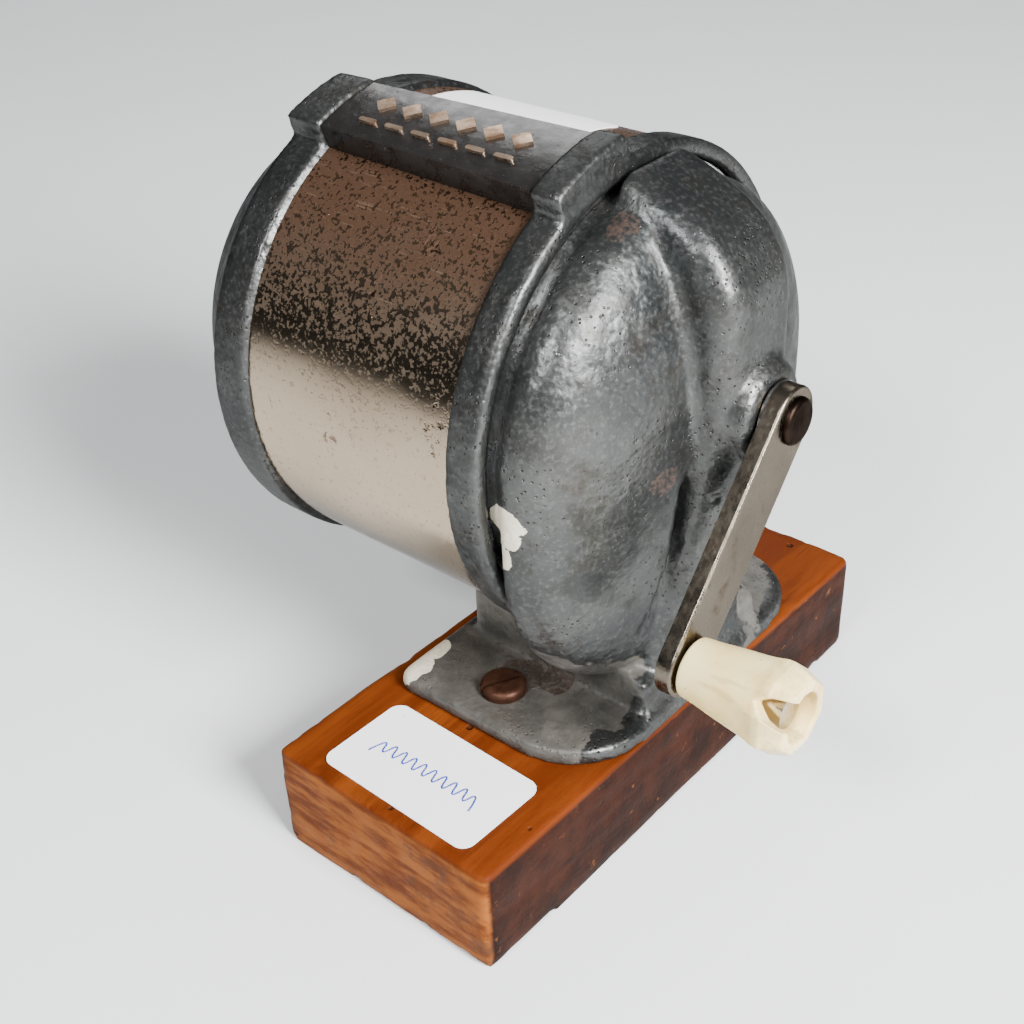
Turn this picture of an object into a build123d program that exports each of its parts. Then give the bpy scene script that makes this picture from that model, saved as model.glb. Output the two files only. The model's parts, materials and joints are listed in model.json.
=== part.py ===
"""Crank pencil sharpener on a wooden block.

Frame: X is the axis of the drum and the crank (crank on +X, pencil goes in at -X),
Z is up, the origin is the middle of the block's underside. Millimetres.
"""
import os
from math import cos, pi, radians, sin, tan

from build123d import *

os.makedirs("parts", exist_ok=True)

# ---- driving dimensions -------------------------------------------------------------
BLOCK_X, BLOCK_Y, BLOCK_Z = 48.0, 109.0, 21.0
BLOCK_YAW = -0.9                  # the block was screwed on a little askew
AXIS_Y = 5.5                      # drum axis, to the side of the block's middle
DRUM_Z = BLOCK_Z + 53.4           # height of the drum axis
ECC = 5.0                         # the crank axis is this far above the drum axis
CRANK_Z = DRUM_Z + ECC

SHELL_R, SHELL_T = 40.5, 0.5      # plated sheet of the receptacle
SPIGOT_R = SHELL_R - SHELL_T - 0.05
RING_R = 41.6                     # cast rings at both ends of it
RING_BORE = SHELL_R - 1.7
PAD_R = 45.3                      # raised pads and strip along the top
CAP_X0, CAP_X1 = -50.4, -42.3     # outer ring
MOUTH_X0, MOUTH_X1 = 2.0, 8.2     # inner ring, next to the housing
FACE_X, FACE_R = -62.6, 30.5      # flat front of the cap
TWIST = 16.0                      # receptacle turned this far about X at rest
STRIP_W0, STRIP_W1 = 13.0, 15.4   # strip width at the cap and at the mouth

RIM_X = 9.4                       # housing mouth
DOME_R, DOME_X = 37.8, 25.4       # radius of the dome's ends and where its crown lies
DOME_Y, DOME_Z = AXIS_Y - 0.5, DRUM_Z - 0.5      # centre of the dome's upper half
DOME_DROP = 11.3                  # the dome is drawn out downwards by this much
PLATE_T, WALL, HOLLOW_GAP = 2.6, 3.0, 2.0
COLLAR_R0, COLLAR_R1, COLLAR_X = 35.0, 37.0, RIM_X - 8.4
FOOT_X0, FOOT_X1, FOOT_HALF, FOOT_T = -19.8, 24.0, 35.0, 3.4
PEDESTAL_HALF = 17.4
BAND_X, BAND_HALF = 30.6, 9.6     # crank-side face of the column and half its top width
BAND_TOP, BAND_ROUND = 40.8, 4.5  # its height over the drum axis and how its edges round
LOW_X, LOW_HALF = 21.6, 14.0      # the same face and half width at the foot
TRENCH_X = 20.8                   # floor of the valleys between the column and the lobes
FOOT_Z = BLOCK_Z - DRUM_Z         # the foot's underside, seen from the drum axis
BOSS_X, BOSS_R = 33.4, 6.9
SCREW_X, SCREW_DY = -1.4, 26.7

CUT_R, CUT_TILT = 6.0, 10.0       # cutter rollers and their slope to the crank axis
ORBIT = 6.0                       # cutter axis to crank axis at the pinions
GEAR_X = RIM_X - 4.3              # middle of the pinions
GEAR_FACE = RIM_X - 4.8           # front of the internal gear
RING_TEETH, PINION_TEETH = 22, 10
PLATE_X0, PLATE_X1 = RIM_X - 34.2, RIM_X - 1.4    # the carrier's two plates
BUSH_X = RIM_X + 7.6
SHAFT_R = 3.4

ARM_L, ARM_R, ARM_T = 40.4, 5.5, 2.8
ARM_ANGLE = 40.5                  # from straight down towards -Y
ARM_X = BOSS_X + 0.5
GRIP_X0, GRIP_X1 = 37.1, 56.6
PIN_HEAD_X = GRIP_X1 - 6.3

DIAL_R, DIAL_DROP, DIAL_T = 28.5, 9.0, 2.0
DIAL_X = FACE_X - 2.3             # outer face of the guide disc
HOLE_DIAS = [8.0, 6.0, 8.8, 6.6, 9.2, 7.2, 9.8, 5.4]


def across(x, z=DRUM_Z, turn=0.0, y=AXIS_Y):
    """Plane square to X at x, its own x along Y, turned about X."""
    t = radians(turn)
    return Plane(origin=(x, y, z), x_dir=(0, cos(t), sin(t)), z_dir=(1, 0, 0))


def side(z=DRUM_Z):
    """Plane through the axis, x along X and y up."""
    return Plane(origin=(0, AXIS_Y, z), x_dir=(1, 0, 0), z_dir=(0, -1, 0))


def save(part, name):
    part.label = name
    export_step(part, "parts/" + name + ".step")


# ---- wooden block and its label ---------------------------------------------------------
block_frame = Location((0, 0, 0), (0, 0, BLOCK_YAW))
with BuildPart() as wooden_block:
    with Locations(block_frame):
        Box(BLOCK_X, BLOCK_Y, BLOCK_Z, align=(Align.CENTER, Align.CENTER, Align.MIN))
    fillet(wooden_block.edges().filter_by(Axis.Z), 1.2)
    fillet(wooden_block.faces().sort_by(Axis.Z)[-1].edges(), 0.7)
    top = Plane.XY.offset(BLOCK_Z)
    with BuildSketch(top):        # two old nail holes
        for u, v in ((-15.2, -52.2), (20.8, 35.2)):
            a = radians(BLOCK_YAW)
            with Locations((u * cos(a) - v * sin(a), u * sin(a) + v * cos(a))):
                Circle(0.9)
    extrude(amount=-8, mode=Mode.SUBTRACT)
    with BuildSketch(top):        # holes for the foot screws
        with Locations((SCREW_X, AXIS_Y - SCREW_DY), (SCREW_X, AXIS_Y + SCREW_DY)):
            Circle(2.05)
    extrude(amount=-15, mode=Mode.SUBTRACT)
save(wooden_block.part, "wooden_block")

with BuildPart() as block_label:
    a = radians(BLOCK_YAW)
    u, v = 0.8, -42.2
    with BuildSketch(Plane.XY.offset(BLOCK_Z)):
        with Locations(Location((u * cos(a) - v * sin(a), u * sin(a) + v * cos(a), 0),
                                (0, 0, BLOCK_YAW - 0.9))):
            RectangleRounded(33.4, 18.8, 2.4)
    extrude(amount=0.15)
save(block_label.part, "block_label")

# ---- housing: one casting with foot, column, dome, band, boss and collar ----------------


def dome(x0, x1, r, flat):
    """Dome from a flat rim at x0 to its crown at x1, drawn out downwards by DOME_DROP."""
    with BuildPart() as shape:
        for z, way in ((DOME_Z, 1), (DOME_Z - DOME_DROP, -1)):
            with BuildSketch(Plane.XY.offset(z)):
                with BuildLine():
                    EllipticalCenterArc((x0 + flat, DOME_Y), x1 - x0 - flat, r, 0, arc_size=90)
                    Polyline((x0 + flat, DOME_Y + r), (x0, DOME_Y + r), (x0, DOME_Y),
                             (x1, DOME_Y))
                make_face()
            revolve(axis=Axis((0, DOME_Y, z), (way, 0, 0)), revolution_arc=180)
        with BuildSketch(Plane.XY.offset(DOME_Z - DOME_DROP)):
            with BuildLine():
                EllipticalCenterArc((x0 + flat, DOME_Y), x1 - x0 - flat, r, -90,
                                    arc_size=180)
                Polyline((x0 + flat, DOME_Y + r), (x0, DOME_Y + r), (x0, DOME_Y - r),
                         (x0 + flat, DOME_Y - r))
            make_face()
        extrude(amount=DOME_DROP)
    return shape.part


with BuildPart() as column:
    with BuildSketch(side()):
        with BuildLine():
            Line((RIM_X, FOOT_Z + 1), (RIM_X, BAND_TOP))
            Spline((RIM_X, BAND_TOP), (14.0, 39.4), (20.0, 36.8), (25.6, 32.8),
                   (29.4, 27.0), (BAND_X, 19.0), tangents=((1, -0.2), (0, -1)))
            Line((BAND_X, 19.0), (BAND_X, 4.0))
            Spline((BAND_X, 4.0), (28.9, -10.0), (27.2, -20.0), (25.2, -30.0),
                   (LOW_X, FOOT_Z + 5.0), tangents=((0, -1), (-0.1, -1)))
            Polyline((LOW_X, FOOT_Z + 5.0), (LOW_X, FOOT_Z + 1), (RIM_X, FOOT_Z + 1))
        make_face()
    extrude(amount=24, both=True)
    with BuildSketch(across(RIM_X)):
        for way in (1, -1):
            with BuildLine():
                Polyline((0, FOOT_Z), (0, PAD_R), (way * BAND_HALF, PAD_R),
                         (way * BAND_HALF, 4.0))
                Spline((way * BAND_HALF, 4.0), (way * 9.9, -10.0), (way * 10.9, -22.0),
                       (way * 12.3, -33.0), (way * LOW_HALF, FOOT_Z + 6.0),
                       tangents=((0, -1), (0.1 * way, -1)))
                Polyline((way * LOW_HALF, FOOT_Z + 6.0), (way * LOW_HALF, FOOT_Z), (0, FOOT_Z))
            make_face()
    extrude(amount=40, mode=Mode.INTERSECT)
    long_edges = column.edges().filter_by(
        lambda edge: abs(edge.center().Y - AXIS_Y) > BAND_HALF - 0.1
        and edge.center().X > LOW_X - 0.5 and edge.length > 3.0)
    fillet(long_edges, BAND_ROUND)

with BuildPart() as trench:            # the valleys, either side of the column
    with BuildSketch(across(TRENCH_X)):
        for way in (1, -1):
            with BuildLine():
                Polyline((0, FOOT_Z), (0, 12.0), (way * 7.0, 12.0), (way * 9.6, 6.0))
                Spline((way * 9.6, 6.0), (way * 12.0, -8.0), (way * 14.4, -20.0),
                       (way * 18.0, -31.0), (way * 25.0, -38.0),
                       tangents=((0.1 * way, -1), (way, -0.6)))
                Polyline((way * 25.0, -38.0), (way * 25.0, FOOT_Z), (0, FOOT_Z))
            make_face()
    extrude(amount=DOME_X - TRENCH_X + 1)

with BuildPart() as foot:
    with BuildSketch(Plane.XY.offset(BLOCK_Z)) as foot_outline:
        with Locations(((FOOT_X0 + FOOT_X1) / 2, AXIS_Y)):
            Rectangle(FOOT_X1 - FOOT_X0, 2 * FOOT_HALF)
        corners = foot_outline.vertices().sort_by(Axis.X)
        fillet(corners[:2], 3.0)
        fillet(foot_outline.vertices().sort_by(Axis.X)[-2:], 15.0)
    extrude(amount=FOOT_T)
    fillet(foot.faces().sort_by(Axis.Z)[-1].edges(), 1.3)

with BuildPart() as pedestal:
    with BuildSketch(side()):
        with BuildLine():
            Polyline((FOOT_X0 + 3.4, FOOT_Z + 1), (FOOT_X1 - 1.0, FOOT_Z + 1),
                     (FOOT_X1 - 1.4, FOOT_Z + 4.5), (LOW_X, FOOT_Z + 9), (RIM_X, FOOT_Z + 15),
                     (FOOT_X0 + 3.4, FOOT_Z + 15), close=True)
        make_face()
    extrude(amount=PEDESTAL_HALF, both=True)
    with BuildSketch(across(FOOT_X0)):
        Circle(RING_R + 1.3)
    extrude(amount=RIM_X - 0.6 - FOOT_X0, mode=Mode.SUBTRACT)

with BuildPart() as stand_housing:
    add(dome(RIM_X, DOME_X, DOME_R, 2.0))
    add(trench.part, mode=Mode.SUBTRACT)
    add(foot.part)
    add(pedestal.part)
    add(column.part)
    with BuildSketch(across(BOSS_X - 9.5, CRANK_Z)):
        Circle(BOSS_R + 1.4)
    extrude(amount=9.5, taper=8)
    # hollow the dome
    add(dome(RIM_X + PLATE_T, TRENCH_X - HOLLOW_GAP, DOME_R - WALL, 0.6), mode=Mode.SUBTRACT)
    # bearing boss inside, opening for the carrier, bore for the bushing
    with BuildSketch(across(BUSH_X, CRANK_Z)):
        Circle(8.2)
    extrude(amount=BOSS_X - 1.0 - BUSH_X)
    with BuildSketch(across(RIM_X - 1, CRANK_Z)):
        Circle(13.2)
    extrude(amount=PLATE_T + 2, mode=Mode.SUBTRACT)
    with BuildSketch(across(BUSH_X - 4, CRANK_Z)):
        Circle(5.0)
    extrude(amount=30.0, mode=Mode.SUBTRACT)
    # collar that the receptacle pushes on to
    with BuildSketch(across(COLLAR_X)):
        Circle(COLLAR_R1)
        Circle(COLLAR_R0, mode=Mode.SUBTRACT)
    extrude(amount=RIM_X - COLLAR_X + 0.1)
    with BuildSketch(Plane.XY.offset(BLOCK_Z - 1)):
        with Locations((SCREW_X, AXIS_Y - SCREW_DY), (SCREW_X, AXIS_Y + SCREW_DY)):
            Circle(2.2)
    extrude(amount=8, mode=Mode.SUBTRACT)
    with BuildSketch(across(DOME_X - 6, DRUM_Z - 8.7, 0, AXIS_Y - 7.4)):   # oil hole
        Circle(1.1)
    extrude(amount=14, mode=Mode.SUBTRACT)
save(stand_housing.part, "stand_housing")

for tag, sign in (("near", -1), ("far", 1)):
    with BuildPart() as foot_screw:
        spot = (SCREW_X, AXIS_Y + sign * SCREW_DY)
        with BuildSketch(Plane.XY.offset(BLOCK_Z + FOOT_T)):
            with Locations(spot):
                Circle(4.1)
        extrude(amount=2.0)
        fillet(foot_screw.faces().sort_by(Axis.Z)[-1].edges(), 1.2)
        with BuildSketch(Plane.XY.offset(BLOCK_Z + FOOT_T + 1.0)):
            with Locations(Location((spot[0], spot[1], 0), (0, 0, 62 if sign < 0 else 15))):
                Rectangle(9.0, 1.1)
        extrude(amount=2.0, mode=Mode.SUBTRACT)
        with BuildSketch(Plane.XY.offset(BLOCK_Z + FOOT_T)):
            with Locations(spot):
                Circle(2.0)
        extrude(amount=-14.0)
    save(foot_screw.part, "foot_screw_" + tag)

# ---- bearing and internal gear --------------------------------------------------------
with BuildPart() as shaft_bushing:
    with BuildSketch(across(BUSH_X, CRANK_Z)):
        Circle(4.98)
        Circle(SHAFT_R + 0.08, mode=Mode.SUBTRACT)
    extrude(amount=BOSS_X - BUSH_X)
save(shaft_bushing.part, "shaft_bushing")

with BuildPart() as ring_gear:
    with BuildSketch(across(GEAR_FACE, CRANK_Z)):
        Circle(16.3)
        Circle(12.3, mode=Mode.SUBTRACT)
        with PolarLocations(0, RING_TEETH, start_angle=90 + 180 / RING_TEETH):
            Polygon((12.6, -1.15), (10.35, -0.35), (10.35, 0.35), (12.6, 1.15), align=None)
    extrude(amount=3.0)
    with BuildSketch(across(GEAR_FACE, CRANK_Z)):
        Circle(16.3)
        Circle(13.2, mode=Mode.SUBTRACT)
    extrude(amount=RIM_X - GEAR_FACE)
    with BuildSketch(across(GEAR_FACE, CRANK_Z)):
        with PolarLocations(14.8, 3, start_angle=30):
            Circle(1.02)
    extrude(amount=6.0, mode=Mode.SUBTRACT)
save(ring_gear.part, "ring_gear")

for i in range(3):
    t = radians(30 + 120 * i)
    y, z = AXIS_Y + 14.8 * cos(t), CRANK_Z + 14.8 * sin(t)
    with BuildPart() as gear_screw:
        with BuildSketch(across(GEAR_FACE, z, 0, y)):
            Circle(1.0)
        extrude(amount=RIM_X - GEAR_FACE)
        with BuildSketch(across(GEAR_FACE - 0.9, z, 0, y)):
            Circle(1.5)
        extrude(amount=0.9)
    save(gear_screw.part, "gear_screw_%d" % (i + 1))

# ---- cutter carrier, shaft, cutters and their pins --------------------------------------
slope = radians(CUT_TILT)


def cutter_plane(sign, s):
    """Plane square to one cutter's axis, s along that axis from the pinion's middle."""
    d = (cos(slope), 0, -sign * sin(slope))
    o = (GEAR_X + s * d[0], AXIS_Y, CRANK_Z + sign * ORBIT + s * d[2])
    return Plane(origin=o, x_dir=(0, 1, 0), z_dir=d)


with BuildPart() as cutter_carrier:
    with BuildSketch(across(PLATE_X0, CRANK_Z)):
        Circle(16.0)
    extrude(amount=3.0)
    with BuildSketch(across(PLATE_X0, CRANK_Z)):
        with Locations((7.95, 0), (-7.95, 0)):
            RectangleRounded(2.9, 6.8, 0.8)
    extrude(amount=PLATE_X1 - PLATE_X0 + 0.4)
    with BuildSketch(across(PLATE_X1, CRANK_Z)):
        Circle(12.2)
    extrude(amount=3.0)
    with BuildSketch(across(PLATE_X1 + 3.0, CRANK_Z)):
        Circle(6.0)
    extrude(amount=3.5)
    with BuildSketch(across(PLATE_X1 - 1, CRANK_Z)):
        Circle(SHAFT_R + 0.02)
    extrude(amount=10.0, mode=Mode.SUBTRACT)
    with BuildSketch(across(PLATE_X0 - 0.2, CRANK_Z)):
        Circle(5.2)
    extrude(amount=4.0, mode=Mode.SUBTRACT)
    for sign in (1, -1):
        with BuildSketch(cutter_plane(sign, -32.0)):
            Circle(1.32)
        extrude(amount=37.5, mode=Mode.SUBTRACT)
save(cutter_carrier.part, "cutter_carrier")

with BuildPart() as crank_shaft:
    with BuildSketch(across(PLATE_X1, CRANK_Z)):
        Circle(SHAFT_R)
    extrude(amount=ARM_X - PLATE_X1)
    with BuildSketch(across(ARM_X, CRANK_Z)) as tang:
        Circle(3.0)
        with Locations((0, 3.2)):
            Rectangle(8, 2.0, mode=Mode.SUBTRACT)
    extrude(amount=ARM_T - 0.1)
    with BuildSketch(across(ARM_X - 6, CRANK_Z)):
        Circle(1.55)
    extrude(amount=12.0, mode=Mode.SUBTRACT)
save(crank_shaft.part, "crank_shaft")

FLUTES = 14
for tag, sign in (("a", 1), ("b", -1)):
    with BuildPart() as cutter:
        for k in range(4):
            turn = 14.0 * k * sign
            with BuildSketch(cutter_plane(sign, -25.9 + 8.0 * k)):
                with BuildLine():
                    pts = []
                    for j in range(FLUTES):
                        a0 = radians(turn + 360 / FLUTES * j)
                        a1 = radians(turn + 360 / FLUTES * (j + 0.5))
                        pts.append((CUT_R * cos(a0), CUT_R * sin(a0)))
                        pts.append((5.1 * cos(a1), 5.1 * sin(a1)))
                    Polyline(*pts, close=True)
                make_face()
        loft(ruled=True)
        with BuildSketch(cutter_plane(sign, -1.95)):
            Circle(3.6)
        extrude(amount=0.5)
        with BuildSketch(cutter_plane(sign, -1.5)):
            Circle(3.9)
            with PolarLocations(0, PINION_TEETH, start_angle=90):
                Polygon((3.5, -0.95), (5.75, -0.35), (5.75, 0.35), (3.5, 0.95), align=None)
        extrude(amount=3.0)
        with BuildSketch(cutter_plane(sign, -27.0)):
            Circle(1.4)
        extrude(amount=30.0, mode=Mode.SUBTRACT)
    save(cutter.part, "cutter_" + tag)
    with BuildPart() as cutter_pin:
        with BuildSketch(cutter_plane(sign, -30.3)):
            Circle(1.3)
        extrude(amount=35.8)
    save(cutter_pin.part, "cutter_pin_" + tag)

# ---- crank ---------------------------------------------------------------------------
turn = radians(ARM_ANGLE)
PIN_Y = AXIS_Y - ARM_L * sin(turn)
PIN_Z = CRANK_Z - ARM_L * cos(turn)

with BuildPart() as thrust_washer:
    with BuildSketch(across(BOSS_X + 0.03, CRANK_Z)):
        Circle(5.6)
        Circle(SHAFT_R + 0.05, mode=Mode.SUBTRACT)
    extrude(amount=0.44)
save(thrust_washer.part, "thrust_washer")

with BuildPart() as crank_arm:
    with BuildSketch(across(ARM_X, CRANK_Z, -ARM_ANGLE)):
        with Locations((0, -ARM_L / 2)):
            SlotCenterToCenter(ARM_L, 2 * ARM_R, rotation=90)
    extrude(amount=ARM_T)
    fillet(crank_arm.faces().sort_by(Axis.X)[-1].edges(), 0.5)
    with BuildSketch(across(ARM_X, CRANK_Z)):
        Circle(3.02)
        with Locations((0, 3.22)):
            Rectangle(8, 2.0, mode=Mode.SUBTRACT)
    extrude(amount=5.0, mode=Mode.SUBTRACT)
    with BuildSketch(across(ARM_X, PIN_Z, 0, PIN_Y)):
        Circle(2.02)
    extrude(amount=5.0, mode=Mode.SUBTRACT)
save(crank_arm.part, "crank_arm")

with BuildPart() as crank_bolt:
    with BuildSketch(across(ARM_X - 5, CRANK_Z)):
        Circle(1.5)
    extrude(amount=ARM_T + 5)
    with BuildSketch(across(ARM_X + ARM_T, CRANK_Z)):
        Circle(3.9)
    extrude(amount=1.1)
    fillet(crank_bolt.faces().sort_by(Axis.X)[-1].edges(), 0.8)
save(crank_bolt.part, "crank_bolt")

with BuildPart() as handle_pin:
    for x, r, length in ((ARM_X - 0.8, 3.0, 0.78), (ARM_X - 0.1, 2.0, PIN_HEAD_X + 0.2 - ARM_X),
                         (PIN_HEAD_X, 2.8, 3.8)):
        with BuildSketch(across(x, PIN_Z, 0, PIN_Y)):
            Circle(r)
        extrude(amount=length)
save(handle_pin.part, "handle_pin")

with BuildPart() as handle_grip:
    axis_plane = Plane(origin=(0, PIN_Y, PIN_Z), x_dir=(1, 0, 0), z_dir=(0, -1, 0))
    with BuildSketch(axis_plane):
        with BuildLine():
            Polyline((GRIP_X0, 0), (GRIP_X0, 4.1), (GRIP_X0 + 1.6, 4.9), (GRIP_X0 + 6, 5.5),
                     (GRIP_X1 - 6.0, 7.4), (GRIP_X1 - 3.2, 7.6), (GRIP_X1, 6.3),
                     (GRIP_X1, 0), (GRIP_X0, 0))
        make_face()
    revolve(axis=Axis((0, PIN_Y, PIN_Z), (1, 0, 0)), revolution_arc=360)
    with BuildSketch(across(GRIP_X0, PIN_Z, 0, PIN_Y)):
        Circle(2.15)
    extrude(amount=40, mode=Mode.SUBTRACT)
    with BuildSketch(across(PIN_HEAD_X - 0.2, PIN_Z, 0, PIN_Y)):
        Circle(4.5)
    extrude(amount=12, mode=Mode.SUBTRACT)
    # broken notch in the end wall
    with BuildSketch(Plane(origin=(0, PIN_Y, PIN_Z), x_dir=(1, 0, 0),
                           z_dir=(0, -cos(radians(35)), sin(radians(35))))):
        with BuildLine():
            Polyline((GRIP_X1 + 1, -3.0), (GRIP_X1 - 3.0, -2.2), (GRIP_X1 - 6.4, 0.4),
                     (GRIP_X1 - 3.0, 1.8), (GRIP_X1 + 1, 2.6), close=True)
        make_face()
    extrude(amount=12, mode=Mode.SUBTRACT)
save(handle_grip.part, "handle_grip")

# ---- receptacle -----------------------------------------------------------------------
with BuildPart() as collar_spring:
    with BuildSketch(across(MOUTH_X0 + 0.8)):
        Circle(RING_BORE - 0.3)
        Circle(COLLAR_R1 + 0.1, mode=Mode.SUBTRACT)
        with Locations((0, 1 - RING_BORE)):
            Rectangle(3.0, 6.0, mode=Mode.SUBTRACT)
    extrude(amount=3.6)
save(collar_spring.part, "collar_spring")


def pad(x0, x1, w0, w1):
    """Raised land along the top of a ring, in the turned frame of the receptacle."""
    with BuildPart() as land:
        with BuildSketch(across(x0, DRUM_Z, TWIST)):
            Circle(PAD_R)
            Circle(SHELL_R + 0.02, mode=Mode.SUBTRACT)
        extrude(amount=x1 - x0)
        plan = Plane(origin=(0, AXIS_Y, DRUM_Z), x_dir=(1, 0, 0),
                     z_dir=(0, -sin(radians(TWIST)), cos(radians(TWIST))))
        with BuildSketch(plan):
            with BuildLine():
                Polyline((x0, -w0 / 2), (x1, -w1 / 2), (x1, w1 / 2), (x0, w0 / 2),
                         close=True)
            make_face()
        extrude(amount=60, mode=Mode.INTERSECT)
    return land.part


with BuildPart() as cap_pad:
    add(pad(CAP_X0 + 0.4, CAP_X1, STRIP_W0 + 0.6, STRIP_W0 + 1.2))
    fillet(cap_pad.faces().sort_by(Axis.Z)[-1].edges(), 0.6)
with BuildPart() as mouth_pad:
    add(pad(MOUTH_X0, MOUTH_X1 - 0.4, STRIP_W1 + 1.4, STRIP_W1 + 2.0))
    fillet(mouth_pad.faces().sort_by(Axis.Z)[-1].edges(), 0.6)

hole_ring = ECC + DIAL_DROP
tw = radians(TWIST)
HOLE_Y, HOLE_Z = AXIS_Y - ECC * sin(tw), DRUM_Z + ECC * cos(tw)
DIAL_Y, DIAL_Z = AXIS_Y + DIAL_DROP * sin(tw), DRUM_Z - DIAL_DROP * cos(tw)

with BuildPart() as receptacle_cap:
    with BuildSketch(side()):
        with BuildLine():
            Polyline((FACE_X, 0), (FACE_X, FACE_R), (FACE_X + 1.2, FACE_R + 1.4),
                     (CAP_X0 - 1.4, RING_R - 3.6), (CAP_X0, RING_R - 1.4),
                     (CAP_X0 + 0.8, RING_R), (CAP_X1, RING_R), (CAP_X1, SPIGOT_R),
                     (CAP_X1 + 2.2, SPIGOT_R), (CAP_X1 + 2.2, RING_BORE - 0.5),
                     (CAP_X0 + 1.0, RING_BORE - 2.0), (FACE_X + 2.6, FACE_R - 0.6),
                     (FACE_X + 2.6, 0), (FACE_X, 0))
        make_face()
    revolve(axis=Axis((0, AXIS_Y, DRUM_Z), (1, 0, 0)), revolution_arc=360)
    add(cap_pad.part)
    with BuildSketch(across(FACE_X - 1, HOLE_Z, 0, HOLE_Y)):
        Circle(6.6)
    extrude(amount=6, mode=Mode.SUBTRACT)
    with BuildSketch(across(FACE_X - 1, DIAL_Z, 0, DIAL_Y)):
        Circle(2.02)
    extrude(amount=6, mode=Mode.SUBTRACT)
    with BuildSketch(across(FACE_X - 1, DIAL_Z, TWIST, DIAL_Y)):
        with Locations((0, -hole_ring)):
            Circle(1.6)
        with Locations((6.0, -hole_ring)):
            Circle(0.82)
    extrude(amount=6, mode=Mode.SUBTRACT)
save(receptacle_cap.part, "receptacle_cap")

with BuildPart() as mouth_ring:
    with BuildSketch(side()):
        with BuildLine():
            Polyline((MOUTH_X0 - 2.2, RING_BORE), (MOUTH_X0 - 2.2, SPIGOT_R),
                     (MOUTH_X0, SPIGOT_R), (MOUTH_X0, RING_R), (MOUTH_X1 - 0.8, RING_R),
                     (MOUTH_X1, RING_R - 0.8), (MOUTH_X1, RING_BORE),
                     (MOUTH_X0 - 2.2, RING_BORE))
        make_face()
    revolve(axis=Axis((0, AXIS_Y, DRUM_Z), (1, 0, 0)), revolution_arc=360)
    add(mouth_pad.part)
save(mouth_ring.part, "mouth_ring")

with BuildPart() as receptacle_shell:
    with BuildSketch(across(CAP_X1 + 0.02)):
        Circle(SHELL_R)
        Circle(SHELL_R - SHELL_T, mode=Mode.SUBTRACT)
    extrude(amount=MOUTH_X0 - CAP_X1 - 0.04)
save(receptacle_shell.part, "receptacle_shell")

with BuildPart() as top_strip:
    add(pad(CAP_X1 + 0.04, MOUTH_X0 - 0.04, STRIP_W0, STRIP_W1))
    with BuildSketch(across(CAP_X1, DRUM_Z, TWIST)):
        Circle(PAD_R - 0.7)
    extrude(amount=50, mode=Mode.INTERSECT)
save(top_strip.part, "top_strip")

plan_top = Plane(origin=(0, AXIS_Y, DRUM_Z), x_dir=(1, 0, 0),
                 z_dir=(0, -sin(tw), cos(tw)))
with BuildPart() as strip_relief:      # plain ornament: lozenges over a row of dashes
    with BuildSketch(plan_top):
        for i in range(6):
            with Locations((CAP_X1 + 8.0 + 5.6 * i, 1.3)):
                Polygon((-2.1, 0), (0, -2.0), (2.1, 0), (0, 2.0), align=None)
            with Locations((CAP_X1 + 8.0 + 5.6 * i, -3.3)):
                RectangleRounded(3.6, 0.9, 0.4)
    extrude(amount=60)
    with BuildSketch(across(CAP_X1, DRUM_Z, TWIST)):
        Circle(PAD_R - 0.2)
        Circle(PAD_R - 0.7, mode=Mode.SUBTRACT)
    extrude(amount=50, mode=Mode.INTERSECT)
save(strip_relief.part, "strip_relief")

with BuildPart() as drum_label:
    with BuildSketch(across(CAP_X1 + 5.0, DRUM_Z, TWIST)):
        Circle(SHELL_R + 0.17)
        Circle(SHELL_R + 0.02, mode=Mode.SUBTRACT)
    extrude(amount=33.0)
    with BuildSketch(plan_top):
        with Locations((-22.0, 16.4)):
            RectangleRounded(33.0, 14.0, 2.4)
    extrude(amount=60, mode=Mode.INTERSECT)
save(drum_label.part, "drum_label")

# ---- pencil guide ------------------------------------------------------------------------
with BuildPart() as guide_disc:
    with BuildSketch(across(DIAL_X, DIAL_Z, TWIST, DIAL_Y)):
        Circle(DIAL_R)
        with PolarLocations(DIAL_R + 1.2, 32):
            Circle(2.1, mode=Mode.SUBTRACT)
        for i, dia in enumerate(HOLE_DIAS):
            with PolarLocations(hole_ring, 1, start_angle=90 + 45 * i):
                Circle(dia / 2, mode=Mode.SUBTRACT)
        Circle(2.06, mode=Mode.SUBTRACT)
    extrude(amount=DIAL_T)
save(guide_disc.part, "guide_disc")

with BuildPart() as guide_rivet:
    for x, r, length in ((DIAL_X - 1.2, 4.6, 1.15), (DIAL_X - 0.1, 2.0, 5.1),
                         (FACE_X + 2.62, 3.6, 0.9)):
        with BuildSketch(across(x, DIAL_Z, TWIST, DIAL_Y)):
            Circle(r)
        extrude(amount=length)
save(guide_rivet.part, "guide_rivet")

with BuildPart() as guide_washer:
    with BuildSketch(across(FACE_X - 0.28, DIAL_Z, TWIST, DIAL_Y)):
        Circle(7.0)
        Circle(2.04, mode=Mode.SUBTRACT)
    extrude(amount=0.26)
save(guide_washer.part, "guide_washer")

with BuildPart() as detent_spring:
    with BuildSketch(across(FACE_X + 2.62, DIAL_Z, TWIST, DIAL_Y)):
        with Locations((3.0, -hole_ring)):
            RectangleRounded(11.0, 4.0, 1.9)
    extrude(amount=0.4)
    with BuildSketch(across(FACE_X + 0.1, DIAL_Z, TWIST, DIAL_Y)):
        with Locations((0, -hole_ring)):
            Circle(1.45)
    extrude(amount=2.6)
    with BuildSketch(across(FACE_X + 0.5, DIAL_Z, TWIST, DIAL_Y)):
        with Locations((6.0, -hole_ring)):
            Circle(0.8)
    extrude(amount=2.6)
save(detent_spring.part, "detent_spring")
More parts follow.
